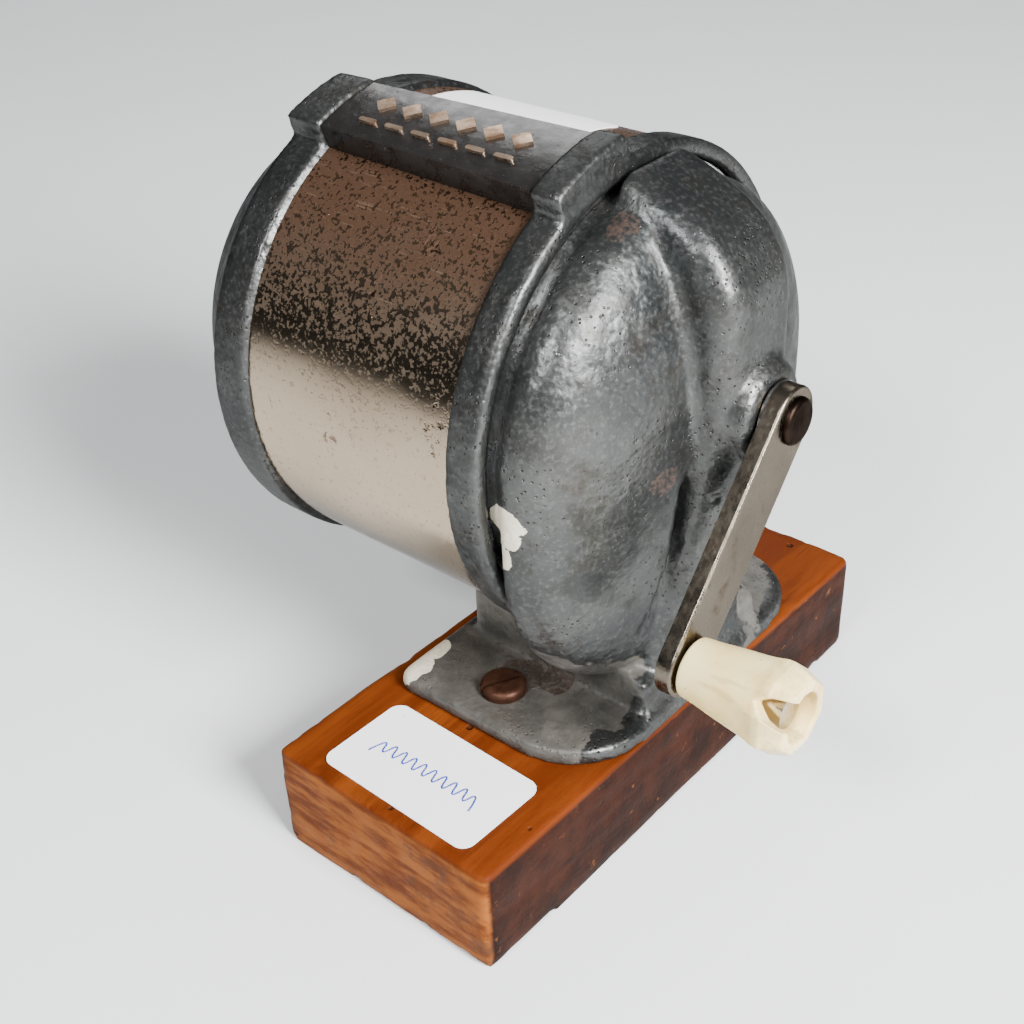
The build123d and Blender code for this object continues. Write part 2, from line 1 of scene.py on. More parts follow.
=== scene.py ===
"""Looks of the crank pencil sharpener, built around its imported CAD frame.

Everything is in metres, in the CAD's frame: X along the drum's axis with the crank on +X,
Z up, the block's underside at z = 0. Sizes named here are in millimetres times MM.
"""
import json
import math

import bmesh
import bpy
from mathutils import Matrix, Vector, noise


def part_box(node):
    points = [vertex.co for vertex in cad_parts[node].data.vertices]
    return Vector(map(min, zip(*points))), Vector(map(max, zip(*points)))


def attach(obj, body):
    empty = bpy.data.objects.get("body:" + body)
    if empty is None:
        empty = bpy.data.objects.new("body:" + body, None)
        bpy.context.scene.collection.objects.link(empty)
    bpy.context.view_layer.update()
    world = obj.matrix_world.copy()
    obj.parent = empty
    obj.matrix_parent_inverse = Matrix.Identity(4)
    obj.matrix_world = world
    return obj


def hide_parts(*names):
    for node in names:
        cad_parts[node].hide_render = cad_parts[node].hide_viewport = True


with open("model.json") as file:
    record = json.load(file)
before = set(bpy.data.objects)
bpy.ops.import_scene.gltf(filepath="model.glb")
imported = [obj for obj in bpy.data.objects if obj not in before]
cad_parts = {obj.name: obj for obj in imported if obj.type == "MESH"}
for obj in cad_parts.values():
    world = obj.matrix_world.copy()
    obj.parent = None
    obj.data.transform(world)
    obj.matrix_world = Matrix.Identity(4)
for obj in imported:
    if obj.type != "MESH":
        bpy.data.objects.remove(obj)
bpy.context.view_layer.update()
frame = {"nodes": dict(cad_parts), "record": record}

MM = 0.001
JOINTS = {joint["name"]: joint for joint in frame["record"]["behaviour"]["joints"]}
DRUM = Vector(JOINTS["receptacle_twist"]["pos_m"])      # a point on the drum's axis
PIN = Vector(JOINTS["grip_spin"]["pos_m"])              # the grip's axis where it begins
CUTTERS = {"a": "cutter_a_spin", "b": "cutter_b_spin"}

# driving sizes, in millimetres and degrees
RIM_X, RIM_R = 9.4, 38.0          # mouth of the housing along X, and its radius
FOOT_T = 3.4                      # thickness of the housing's foot
NOTCH_TURN = 35.0                 # the grip's broken corner, from -Y towards +Z
GRIP_BORE = 2.15                  # radius of the hole for the grip's pin
RECESS_X = 13.1                   # where the grip's hollow end begins, along the grip
CUTTER_TEETH, PINION_TEETH = 14, 10
CUTTER_R, FLUTE_DEPTH = 5.95, 0.95
CUTTER_TWIST = 46.0               # turn of the flutes over the roller's length
PINION_R, PINION_DEPTH = 5.7, 1.8
WAVE_COUNT, WAVE_STEP, WAVE_HALF = 21, 1.15, 2.4      # the pen wave on the block's label

# studio, in metres, watts and degrees
FLOOR_HALF = 3.0
SKY_LOW, SKY_HIGH = 0.27, 0.80    # heights between which the world brightens
SKY_DARK, SKY_BRIGHT = 0.03, 0.28
CAMERA_PLACE = Vector((133.34, -170.32, 195.74)) * MM
AZIMUTH, ELEVATION, ROLL = 41.31, 33.75, -2.37
SENSOR_WIDTH, FOCAL_LENGTH = 36.0, 52.73              # millimetres


# ---- node materials ---------------------------------------------------------------------
class Look:
    """A procedural material, built step by step around one Principled shader."""

    def __init__(self, name, **fixed):
        self.material = bpy.data.materials.new(name)
        self.material.use_nodes = True
        self.tree = self.material.node_tree
        self.shader = self.tree.nodes["Principled BSDF"]
        self.place = self.tree.nodes.new("ShaderNodeTexCoord").outputs["Object"]
        for socket, value in fixed.items():
            self.shader.inputs[socket.replace("_", " ")].default_value = value

    def add(self, kind, settings=(), **inputs):
        """Adds a node; inputs are values or other nodes' output sockets."""
        node = self.tree.nodes.new("ShaderNode" + kind)
        for key, value in dict(settings).items():
            setattr(node, key, value)
        for key, value in inputs.items():
            index = int(key[1:]) if key[0] == "i" and key[1:].isdigit() else None
            socket = node.inputs[index if index is not None else key.replace("_", " ")]
            if isinstance(value, bpy.types.NodeSocket):
                self.tree.links.new(value, socket)
            else:
                socket.default_value = value
        return node

    def math(self, operation, a, b=0.0):
        return self.add("Math", {"operation": operation}, i0=a, i1=b).outputs[0]

    def noise(self, size, detail=3.0, roughness=0.55, place=None):
        """Noise whose features are about size across."""
        return self.add("TexNoise", Vector=place or self.place, Scale=0.5 / size,
                        Detail=detail, Roughness=roughness).outputs[0]

    def cells(self, size):
        """Distance from scattered points about size apart, in steps of size."""
        return self.add("TexVoronoi", Vector=self.place, Scale=1.0 / size).outputs["Distance"]

    def stretched(self, scale, turn=(0.0, 0.0, 0.0)):
        """The place, stretched and turned, for grain and scratches."""
        return self.add("Mapping", Vector=self.place, Rotation=turn, Scale=scale).outputs[0]

    def ramp(self, value, low, high, to_low=0.0, to_high=1.0):
        """The value's smooth way from to_low, at low, to to_high, at high."""
        return self.add("MapRange", {"interpolation_type": "SMOOTHSTEP"}, i0=value, i1=low,
                        i2=high, i3=to_low, i4=to_high).outputs[0]

    def mix(self, factor, a, b):
        """Colour a where factor is zero, colour b where it is one."""
        node = self.add("Mix", {"data_type": "RGBA"})
        for index, value in ((0, factor), (6, a), (7, b)):
            if isinstance(value, bpy.types.NodeSocket):
                self.tree.links.new(value, node.inputs[index])
            else:
                node.inputs[index].default_value = value
        return node.outputs[2]

    def times(self, *values):
        product = values[0]
        for value in values[1:]:
            product = self.math("MULTIPLY", product, value)
        return product

    def most(self, a, b):
        return self.math("MAXIMUM", a, b)

    def axis(self, index):
        """One coordinate of the place."""
        return self.add("SeparateXYZ", i0=self.place).outputs[index]

    def near(self, centre, radius, ragged, grain):
        """One within radius of centre, nothing further off, with a ragged border."""
        away = self.add("VectorMath", {"operation": "DISTANCE"}, i0=self.place,
                        i1=tuple(centre)).outputs["Value"]
        wander = self.math("MULTIPLY", self.math("SUBTRACT", self.noise(grain, 5), 0.5),
                           2 * ragged)
        border = self.math("ADD", away, wander)
        return self.ramp(border, radius * 0.96, radius, 1.0, 0.0)

    def angle(self, centre):
        """Angle about the drum's axis in degrees, from the top towards -Y."""
        y = self.math("SUBTRACT", self.axis(1), centre.y)
        z = self.math("SUBTRACT", self.axis(2), centre.z)
        turn = self.math("ARCTAN2", self.math("MULTIPLY", y, -1.0), z)
        return self.math("MULTIPLY", turn, math.degrees(1.0))

    def colour(self, socket):
        self.tree.links.new(socket, self.shader.inputs["Base Color"])

    def rough(self, socket):
        self.tree.links.new(socket, self.shader.inputs["Roughness"])

    def metal(self, socket):
        self.tree.links.new(socket, self.shader.inputs["Metallic"])

    def bump(self, *layers):
        """Stacks bump layers given as (height socket, depth)."""
        normal = None
        for height, depth in layers:
            node = self.add("Bump", Height=height, Distance=depth, Strength=1.0)
            if normal is not None:
                self.tree.links.new(normal, node.inputs["Normal"])
            normal = node.outputs[0]
        self.tree.links.new(normal, self.shader.inputs["Normal"])


def tint(red, green, blue):
    return (red, green, blue, 1.0)


def hammered_metal(name, paint=(), worn=(), rust=(), dust=(), tone=1.0):
    """Cast alloy with orange peel, pits and grime; paint, rust, dust or wear at places."""
    def toned(*parts):
        return tint(*(tone * part for part in parts))

    look = Look(name, Specular_Tint=tint(0.45, 0.45, 0.45))
    broad = look.noise(12 * MM, 4)
    patchy = look.noise(3.6 * MM, 6, 0.66)
    fine = look.noise(0.38 * MM, 3)
    peel = look.noise(1.5 * MM, 2, 0.5)
    pits = look.ramp(look.cells(0.95 * MM), 0.12, 0.26, 1.0, 0.0)
    pits = look.times(pits, look.ramp(look.noise(6 * MM, 5, 0.65), 0.45, 0.60))
    body = look.mix(look.ramp(broad, 0.32, 0.70),
                    toned(0.044, 0.047, 0.047), toned(0.084, 0.086, 0.083))
    body = look.mix(look.ramp(patchy, 0.50, 0.68, 0.0, 0.6), body,
                    toned(0.036, 0.034, 0.031))
    body = look.mix(look.ramp(fine, 0.48, 0.72, 0.0, 0.3), body, tint(0.17, 0.168, 0.16))
    grime = look.ramp(look.noise(8 * MM, 7, 0.72), 0.55, 0.72, 0.0, 0.65)
    body = look.mix(grime, body, tint(0.042, 0.028, 0.018))
    body = look.mix(look.math("MULTIPLY", pits, 0.8), body, tint(0.012, 0.010, 0.008))
    roughness = look.math("ADD", look.ramp(patchy, 0.3, 0.7, 0.30, 0.46),
                          look.ramp(fine, 0.3, 0.7, -0.05, 0.06))
    flat = None                   # where the surface is covered, so no longer metal
    for centre, radius in dust:
        spot = look.near(centre, radius, radius * 0.5, 6 * MM)
        spot = look.times(spot, look.ramp(patchy, 0.30, 0.60, 0.9, 0.5))
        body = look.mix(spot, body, tint(0.105, 0.096, 0.083))
        flat = spot if flat is None else look.most(flat, spot)
    for centre, radius in rust:
        spot = look.near(centre, radius, radius * 1.6, 5 * MM)
        spot = look.times(spot, look.ramp(fine, 0.35, 0.6, 0.15, 0.75))
        body = look.mix(spot, body, tint(0.036, 0.016, 0.009))
        flat = spot if flat is None else look.most(flat, spot)
    for centre, radius in worn:
        spot = look.near(centre, radius, radius * 1.1, 4 * MM)
        body = look.mix(look.math("MULTIPLY", spot, 0.6), body, tint(0.040, 0.043, 0.041))
    for centre, radius in paint:
        spot = look.near(centre, radius, radius * 1.3, 5 * MM)
        body = look.mix(spot, body, look.mix(fine, tint(0.52, 0.46, 0.34),
                                             tint(0.74, 0.69, 0.56)))
        flat = spot if flat is None else look.most(flat, spot)
    look.colour(body)
    if flat is None:
        look.shader.inputs["Metallic"].default_value = 0.85
        look.rough(roughness)
    else:
        look.metal(look.ramp(flat, 0.0, 1.0, 0.85, 0.05))
        look.rough(look.most(roughness, look.math("MULTIPLY", flat, 0.6)))
    look.bump((peel, 0.34 * MM), (patchy, 0.10 * MM),
              (look.math("MULTIPLY", pits, -1.0), 0.15 * MM), (fine, 0.05 * MM))
    return look.material


def nickel_sheet(name):
    """Plated sheet: browned and speckled along the top; round its upper half, a darkening that is
    partly painted reflection and partly grime; brighter and scratched below.
    """
    look = Look(name, Specular_Tint=tint(0.6, 0.6, 0.6))
    turn = look.angle(DRUM)
    drift = look.math("MULTIPLY", look.math("SUBTRACT", look.noise(11 * MM, 5), 0.5), 30.0)
    level = look.math("ADD", look.math("ABSOLUTE", turn), drift)
    top = look.ramp(level, 36.0, 92.0, 1.0, 0.0)
    crown = look.ramp(level, 30.0, 62.0, 1.0, 0.0)
    grain = look.noise(0.30 * MM, 3, 0.6)
    coarse = look.noise(0.55 * MM, 3, 0.6)
    speck = look.ramp(look.math("ADD", look.math("ADD", look.math("MULTIPLY", grain, 0.55),
                                                 look.math("MULTIPLY", coarse, 0.45)),
                                look.math("MULTIPLY", top, 0.13)), 0.56, 0.64)
    few = look.ramp(look.noise(0.5 * MM, 2), 0.71, 0.76)
    pitted = look.times(look.ramp(look.noise(5 * MM, 5, 0.7), 0.60, 0.68),
                        look.ramp(look.noise(0.8 * MM, 3), 0.48, 0.56))
    scratch = look.noise(2.2 * MM, 2, 0.5, look.stretched((0.7, 14.0, 14.0), (0.5, 0.3, 0.2)))
    lines = look.ramp(scratch, 0.66, 0.70)
    bare = look.mix(look.noise(14 * MM, 4), tint(0.36, 0.275, 0.185), tint(0.50, 0.41, 0.31))
    brown = look.mix(look.noise(4 * MM, 5), tint(0.17, 0.066, 0.028), tint(0.22, 0.115, 0.060))
    # painted reflection, partly grime: darkens the sheet from the top down to about 90 degrees
    # round the drum, showing below the brown crown, for the dark surroundings it mirrors there
    body = look.mix(look.math("MULTIPLY", top, 0.62), bare, tint(0.085, 0.060, 0.044))
    body = look.mix(look.math("MULTIPLY", crown, 0.72), body, brown)
    body = look.mix(look.times(speck, look.ramp(top, 0.0, 1.0, 0.25, 0.88)), body,
                    tint(0.055, 0.028, 0.017))
    body = look.mix(look.math("MULTIPLY", look.most(few, pitted), 0.75), body,
                    tint(0.10, 0.055, 0.035))
    body = look.mix(look.math("MULTIPLY", lines, 0.35), body, tint(0.24, 0.17, 0.12))
    flake = look.near(DRUM + Vector((-2, -24, -34)) * MM, 4.2 * MM, 4 * MM, 3 * MM)
    body = look.mix(flake, body, tint(0.22, 0.08, 0.045))
    look.colour(body)
    look.metal(look.ramp(look.most(look.times(speck, top), flake), 0.0, 1.0, 1.0, 0.45))
    look.rough(look.math("ADD", look.ramp(top, 0.0, 1.0, 0.13, 0.26),
                         look.ramp(speck, 0.0, 1.0, 0.0, 0.15)))
    look.bump((look.math("MULTIPLY", speck, -1.0), 0.012 * MM),
              (look.math("MULTIPLY", pitted, -1.0), 0.08 * MM),
              (look.noise(9 * MM, 2), 0.20 * MM))
    return look.material


def black_enamel(name):
    look = Look(name, Coat_Weight=0.2, Coat_Roughness=0.15, Specular_IOR_Level=0.4)
    wear = look.ramp(look.noise(2.4 * MM, 6, 0.7), 0.60, 0.70)
    speck = look.ramp(look.cells(0.9 * MM), 0.06, 0.12, 1.0, 0.0)
    body = look.mix(look.noise(6 * MM, 3), tint(0.004, 0.0036, 0.0033), tint(0.010, 0.008, 0.007))
    body = look.mix(look.math("MULTIPLY", wear, 0.45), body, tint(0.05, 0.032, 0.022))
    body = look.mix(look.math("MULTIPLY", speck, 0.4), body, tint(0.12, 0.09, 0.07))
    look.colour(body)
    look.rough(look.ramp(look.noise(1.6 * MM, 4), 0.3, 0.7, 0.20, 0.38))
    look.bump((look.noise(1.2 * MM, 3), 0.10 * MM), (wear, 0.05 * MM))
    return look.material


def stained_wood(name, block):
    """Stained softwood: grain along the block, long sides much darker than the top, worn and
    scuffed, dark dents.
    """
    low, high = block
    look = Look(name, Specular_IOR_Level=0.06)
    wavy = look.add("VectorMath", {"operation": "ADD"}, i0=look.stretched((1.0, 0.09, 1.0)),
                    i1=look.add("VectorMath", {"operation": "SCALE"}, i0=look.add(
                        "TexNoise", Vector=look.place, Scale=28.0, Detail=2.0).outputs["Color"],
                        Scale=0.003).outputs[0]).outputs[0]
    rings = look.noise(2.6 * MM, 4, 0.6, wavy)
    pores = look.noise(0.35 * MM, 2, 0.5, look.stretched((1.0, 0.05, 1.0)))
    body = look.mix(look.ramp(rings, 0.36, 0.64), tint(0.085, 0.016, 0.0025),
                    tint(0.150, 0.034, 0.0050))
    body = look.mix(look.ramp(pores, 0.58, 0.70, 0.0, 0.35), body, tint(0.035, 0.008, 0.002))
    body = look.mix(look.ramp(look.noise(18 * MM, 4), 0.40, 0.70, 0.0, 0.45), body,
                    tint(0.10, 0.018, 0.003))
    side = look.ramp(look.axis(2), high.z - 1.6 * MM, high.z - 0.3 * MM, 1.0, 0.0)
    scuff = look.noise(5 * MM, 7, 0.72)
    smear = look.noise(3 * MM, 5, 0.65, look.stretched((1.0, 0.25, 1.4), (0.5, 0.0, 0.0)))
    # the long sides: coloured much darker than the top and the ends
    sides = look.mix(look.ramp(scuff, 0.38, 0.62), tint(0.026, 0.007, 0.003),
                     tint(0.010, 0.0035, 0.002))
    sides = look.mix(look.ramp(smear, 0.54, 0.68, 0.0, 0.75), sides, tint(0.006, 0.0035, 0.003))
    sides = look.mix(look.ramp(look.noise(1.5 * MM, 5, 0.7), 0.62, 0.72, 0.0, 0.5), sides,
                     tint(0.20, 0.075, 0.022))
    ends = look.math("MULTIPLY", side, look.ramp(
        look.math("ABSOLUTE", look.math("SUBTRACT", look.axis(1), (low.y + high.y) / 2)),
        (high.y - low.y) / 2 - 1.6 * MM, (high.y - low.y) / 2 - 0.7 * MM))
    end_grain = look.noise(1.1 * MM, 4, 0.6, look.stretched((0.22, 1.0, 1.0), (0.0, 0.25, 0.0)))
    end = look.mix(look.ramp(end_grain, 0.35, 0.65), tint(0.085, 0.020, 0.004),
                   tint(0.22, 0.070, 0.014))
    end = look.mix(look.ramp(scuff, 0.55, 0.68, 0.0, 0.7), end, tint(0.07, 0.03, 0.015))
    body = look.mix(side, body, look.mix(ends, sides, end))
    dents = look.ramp(look.cells(9 * MM), 0.045, 0.085, 1.0, 0.0)
    body = look.mix(look.math("MULTIPLY", dents, 0.75), body, tint(0.03, 0.012, 0.006))
    look.colour(body)
    look.rough(look.math("ADD", look.ramp(rings, 0.3, 0.7, 0.42, 0.54),
                         look.math("MULTIPLY", side, 0.15)))
    look.bump((rings, 0.12 * MM), (scuff, 0.35 * MM), (look.math("MULTIPLY", dents, -1.0),
                                                      0.4 * MM))
    return look.material


def paper(name):
    look = Look(name, Specular_IOR_Level=0.25)
    body = look.mix(look.noise(5 * MM, 4), tint(0.87, 0.87, 0.88), tint(0.92, 0.92, 0.925))
    look.colour(look.mix(look.ramp(look.noise(1.2 * MM, 5, 0.7), 0.64, 0.74, 0.0, 0.4), body,
                         tint(0.62, 0.60, 0.58)))
    look.rough(look.ramp(look.noise(2 * MM, 3), 0.3, 0.7, 0.55, 0.7))
    look.bump((look.noise(0.3 * MM, 3), 0.02 * MM), (look.noise(7 * MM, 2), 0.10 * MM))
    return look.material


def ink(name, colour):
    look = Look(name)
    look.colour(look.mix(look.noise(0.6 * MM, 3), tint(*colour),
                         tint(*(0.5 * part for part in colour))))
    look.rough(look.ramp(look.noise(1 * MM, 2), 0.3, 0.7, 0.4, 0.6))
    return look.material


def worn_steel(name, bright, dark, rust=0.3, low=0.22, high=0.45, size=3.0, shine=1.0):
    """Steel part with a stained plating or rust; rust is how much of it is browned."""
    look = Look(name, Metallic=shine, Specular_Tint=tint(0.5, 0.5, 0.5))
    stain = look.noise(size * MM, 5, 0.65)
    fine = look.noise(0.5 * MM, 3)
    grain = look.noise(0.5 * MM, 2, 0.5, look.stretched((1.0, 1.0, 0.12), (0.7, 0.0, 0.0)))
    body = look.mix(look.ramp(look.noise(size * 3 * MM, 3), 0.35, 0.65), tint(*bright),
                    tint(*(0.72 * part for part in bright)))
    body = look.mix(look.ramp(stain, 0.62 - 0.3 * rust, 0.78 - 0.3 * rust, 0.0, 0.85), body,
                    tint(*dark))
    body = look.mix(look.ramp(look.cells(1.1 * MM), 0.05, 0.12, 0.6, 0.0), body, tint(
        *(0.4 * part for part in dark)))
    look.colour(body)
    look.rough(look.math("ADD", look.ramp(stain, 0.35, 0.75, low, high),
                         look.ramp(grain, 0.3, 0.7, -0.04, 0.05)))
    look.bump((stain, 0.10 * MM), (fine, 0.03 * MM))
    return look.material


def ivory_plastic(name, grip_end):
    """Aged plastic: cream, grimy towards its broken end, with fine dark specks and cracks."""
    look = Look(name, Subsurface_Weight=0.15, Subsurface_Scale=0.002,
                Specular_IOR_Level=0.4, Coat_Weight=0.1, Coat_Roughness=0.25)
    look.shader.inputs["Subsurface Radius"].default_value = (1.0, 0.7, 0.4)
    body = look.mix(look.ramp(look.noise(9 * MM, 4), 0.35, 0.65), tint(0.83, 0.60, 0.22),
                    tint(0.95, 0.79, 0.40))
    near_end = look.ramp(look.axis(0), grip_end - 12 * MM, grip_end, 0.0, 0.55)
    body = look.mix(look.times(near_end, look.ramp(look.noise(2.5 * MM, 6, 0.7), 0.42, 0.62)),
                    body, tint(0.40, 0.285, 0.13))
    speck = look.ramp(look.cells(2.0 * MM), 0.05, 0.09, 0.8, 0.0)
    body = look.mix(speck, body, tint(0.16, 0.09, 0.04))
    streak = look.noise(1.2 * MM, 3, 0.6, look.stretched((0.12, 1.0, 1.0)))
    body = look.mix(look.ramp(streak, 0.62, 0.72, 0.0, 0.30), body, tint(0.34, 0.24, 0.13))
    look.colour(body)
    look.rough(look.ramp(look.noise(2 * MM, 4), 0.3, 0.7, 0.26, 0.42))
    look.bump((look.noise(4 * MM, 3), 0.12 * MM), (look.noise(0.6 * MM, 2), 0.02 * MM))
    return look.material


def pale_floor(name):
    look = Look(name, Specular_IOR_Level=0.3)
    look.colour(look.mix(look.noise(0.35, 2), tint(0.80, 0.815, 0.82), tint(0.835, 0.85, 0.855)))
    look.rough(look.ramp(look.noise(0.02, 3), 0.3, 0.7, 0.55, 0.65))
    return look.material


# ---- meshes -------------------------------------------------------------------------------
def put(name, mesh, material, body, slot, *replaced):
    """Makes a smooth-shaded piece of mesh that rides on body."""
    piece = bpy.data.objects.new(name, mesh)
    bpy.context.scene.collection.objects.link(piece)
    mesh.materials.clear()
    mesh.materials.append(material)
    mesh.polygons.foreach_set("use_smooth", [True] * len(mesh.polygons))
    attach(piece, body)
    if replaced:
        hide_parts(*replaced)
    return piece


def with_modifiers(mesh, *modifiers):
    """The mesh after modifiers, each given as (type, settings)."""
    scratch = bpy.data.objects.new("scratch", mesh)
    bpy.context.scene.collection.objects.link(scratch)
    for kind, settings in modifiers:
        modifier = scratch.modifiers.new(kind.lower(), kind)
        for key, value in settings.items():
            setattr(modifier, key, value)
    shaped = scratch.evaluated_get(bpy.context.evaluated_depsgraph_get())
    result = bpy.data.meshes.new_from_object(shaped)
    bpy.data.objects.remove(scratch)
    return result


def moved_out(mesh, height):
    """Moves each vertex along its normal by height(point)."""
    normals = [Vector(item.vector) for item in mesh.vertex_normals]
    for vertex, normal in zip(mesh.vertices, normals):
        vertex.co += normal * height(vertex.co)
    mesh.update()
    return mesh


def softened(node, voxel, rounds):
    """The CAD node's mesh remeshed evenly, its seams and edges rounded like a casting's."""
    return with_modifiers(
        frame["nodes"][node].data.copy(),
        ("REMESH", {"mode": "VOXEL", "voxel_size": voxel, "adaptivity": 0.0}),
        ("SMOOTH", {"factor": 0.5, "iterations": rounds}))


def dimpled(size, depth):
    """Height of a hammered surface: shallow dents about size across, all inwards."""
    def height(point):
        grain = noise.noise(point / size) + 0.5 * noise.noise(point * (2.3 / size))
        return -depth * (0.55 + 0.45 * grain)
    return height


def lofted(sections):
    """Closed tube through rings of equal counts of points, capped at both ends."""
    count = len(sections[0])
    points = [point for ring in sections for point in ring]
    faces = []
    for i in range(len(sections) - 1):
        for j in range(count):
            k = (j + 1) % count
            faces.append((i * count + j, i * count + k, (i + 1) * count + k,
                          (i + 1) * count + j))
    faces.append(tuple(range(count))[::-1])
    last = (len(sections) - 1) * count
    faces.append(tuple(range(last, last + count)))
    mesh = bpy.data.meshes.new("lofted")
    mesh.from_pydata(points, [], faces)
    repair = bmesh.new()
    repair.from_mesh(mesh)
    bmesh.ops.recalc_face_normals(repair, faces=repair.faces)
    repair.to_mesh(mesh)
    repair.free()
    return mesh


def carved(mesh, *tools):
    """The mesh less each tool mesh."""
    for tool in tools:
        cutter = bpy.data.objects.new("cutter_tool", tool)
        bpy.context.scene.collection.objects.link(cutter)
        mesh = with_modifiers(mesh, ("BOOLEAN", {"operation": "DIFFERENCE", "object": cutter,
                                                "solver": "EXACT"}))
        bpy.data.objects.remove(cutter)
    return mesh


def ring_x(x, centre, radius, count=96, facets=0.0):
    """Points round an axis along X; facets from 0, round, to 1, eight-sided."""
    points = []
    for j in range(count):
        turn = 2 * math.pi * j / count
        part = (turn + math.pi / 8) % (math.pi / 4) - math.pi / 8
        flat = math.cos(math.pi / 8) / math.cos(part)
        reach = radius * (1 - facets + facets * flat)
        points.append((x, centre.y + reach * math.cos(turn), centre.z + reach * math.sin(turn)))
    return points


def grip_mesh():
    """The moulded grip: flared, eight-sided at its hollow end, with a piece broken out."""
    low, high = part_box("handle_grip")
    # places along the grip, radii there, and how far the section is eight-sided
    profile = ((0.0, 4.5, 0), (0.3, 4.9, 0), (3.0, 5.2, 0), (7.0, 5.8, 0.0), (10.5, 6.4, 0.3),
               (13.0, 7.0, 0.8), (14.6, 7.45, 1.0), (15.8, 7.5, 1.0), (18.4, 6.5, 1.0),
               (19.3, 6.05, 1.0))
    rings = [ring_x(low.x + x * MM, PIN, r * MM, 96, facets) for x, r, facets in profile]
    beyond = 30.0                 # clear of the grip's end, for the carving tools
    bore = lofted([ring_x(low.x + x * MM, PIN, GRIP_BORE * MM, 48) for x in (-1.0, beyond)])
    recess = lofted([ring_x(low.x + RECESS_X * MM, PIN, 3.9 * MM, 64),
                     ring_x(low.x + beyond * MM, PIN, 4.6 * MM, 64)])
    # the broken corner: a wedge that comes to a point along the grip
    lean = math.radians(NOTCH_TURN)
    out = Vector((0, -math.cos(lean), math.sin(lean)))
    across = Vector((0, math.sin(lean), math.cos(lean)))
    start = Vector((high.x, PIN.y, PIN.z))
    outline = ((1.5, -2.6), (-1.6, -2.3), (-3.4, -1.7), (-5.6, 0.4), (-3.4, 1.7), (-1.0, 2.1),
               (1.5, 2.4))
    wedge = lofted([[start + Vector((1, 0, 0)) * x * MM + across * y * MM + out * depth * MM
                     for x, y in outline] for depth in (1.0, 12.0)])
    mesh = carved(lofted(rings), bore, recess, wedge)
    return with_modifiers(mesh, ("REMESH", {"mode": "VOXEL", "voxel_size": 0.2 * MM}),
                          ("SMOOTH", {"factor": 0.5, "iterations": 4}))


def cutter_mesh(tag):
    """Cutter roller with helical teeth and its pinion, on its own tilted axis."""
    joint = JOINTS[CUTTERS[tag]]
    start, along = Vector(joint["pos_m"]), Vector(joint["axis"]).normalized()
    aside = Vector((0, 1, 0))
    up = along.cross(aside)
    count, hand = CUTTER_TEETH * 8, 1 if tag == "a" else -1

    def ring(s, radius, depth=0.0, number=1, turn=0.0):
        """Points round the roller, s along it, with a number of teeth of this depth."""
        points = []
        for j in range(count):
            a = 2 * math.pi * j / count
            ramp = (a * number / (2 * math.pi)) % 1.0
            r = radius - depth * (1 - abs(2 * ramp - 1)) if depth else radius
            c, t = math.cos(a + turn), math.sin(a + turn)
            points.append(start + along * s + (aside * c + up * t) * r)
        return points

    steps = 24
    rings = [ring(-25.9 * MM, 4.6 * MM)]
    for i in range(steps + 1):
        rings.append(ring((-25.7 + 23.6 * i / steps) * MM, CUTTER_R * MM, FLUTE_DEPTH * MM,
                          CUTTER_TEETH, hand * math.radians(CUTTER_TWIST) * i / steps))
    for s in (-1.9, -1.55):       # the neck before the pinion
        rings.append(ring(s * MM, 3.6 * MM))
    for s in (-1.5, 1.45):
        rings.append(ring(s * MM, PINION_R * MM, PINION_DEPTH * MM, PINION_TEETH))
    return lofted(rings)


def pen_line(name, points, body, slot, material, width=0.32):
    """A pen stroke: a flat ribbon through points, lying on a label."""
    curve = bpy.data.curves.new(name, "CURVE")
    curve.dimensions = "3D"
    curve.bevel_depth = 0.5 * width * MM
    curve.bevel_resolution = 1
    spline = curve.splines.new("NURBS")
    spline.points.add(len(points) - 1)
    for target, point in zip(spline.points, points):
        target.co = (*point, 1.0)
    spline.order_u = 3
    spline.use_endpoint_u = True
    stroke = bpy.data.objects.new(name + "_path", curve)
    bpy.context.scene.collection.objects.link(stroke)
    mesh = bpy.data.meshes.new_from_object(
        stroke.evaluated_get(bpy.context.evaluated_depsgraph_get()))
    bpy.data.objects.remove(stroke)
    return put(name, mesh, material, body, slot)


# ---- finishes ------------------------------------------------------------------------------
foot_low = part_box("stand_housing")[0]
block_low, block_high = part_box("wooden_block")


def on_foot(x, y):
    """A place on the foot's top, from its own -X, -Y corner."""
    return Vector((foot_low.x + x * MM, foot_low.y + y * MM, foot_low.z + FOOT_T * MM))


def on_rim(turn, x=0.0, radius=RIM_R):
    """A place on the housing's rim, turn degrees from the top towards -Y."""
    a = math.radians(turn)
    return Vector((DRUM.x + (RIM_X + x) * MM, DRUM.y - radius * MM * math.sin(a),
                   DRUM.z + radius * MM * math.cos(a)))


cast = hammered_metal(
    "cast_housing",
    paint=((on_rim(97, 0.5), 3.4 * MM), (on_rim(106, 0.2), 2.6 * MM), (on_rim(118, 0), 1.6 * MM),
           (on_foot(1, 1), 3.6 * MM), (on_foot(1.5, 6), 3.2 * MM), (on_foot(1, 13), 2.6 * MM),
           (on_foot(8, 0), 2.4 * MM), (on_foot(16, 0), 1.5 * MM)),
    worn=((on_rim(118, 12, 35), 4.0 * MM),),
    dust=((on_foot(20, 12), 22.0 * MM), (on_foot(20, 58), 22.0 * MM)),
    rust=((on_foot(18, 16), 4.0 * MM), (on_foot(25, 19), 3.0 * MM), (on_rim(20, 4), 3.0 * MM),
          (Vector((DRUM.x + 25 * MM, DRUM.y - 16 * MM, DRUM.z - 3 * MM)), 2.5 * MM)))
rings = hammered_metal("cast_rings", tone=0.9)
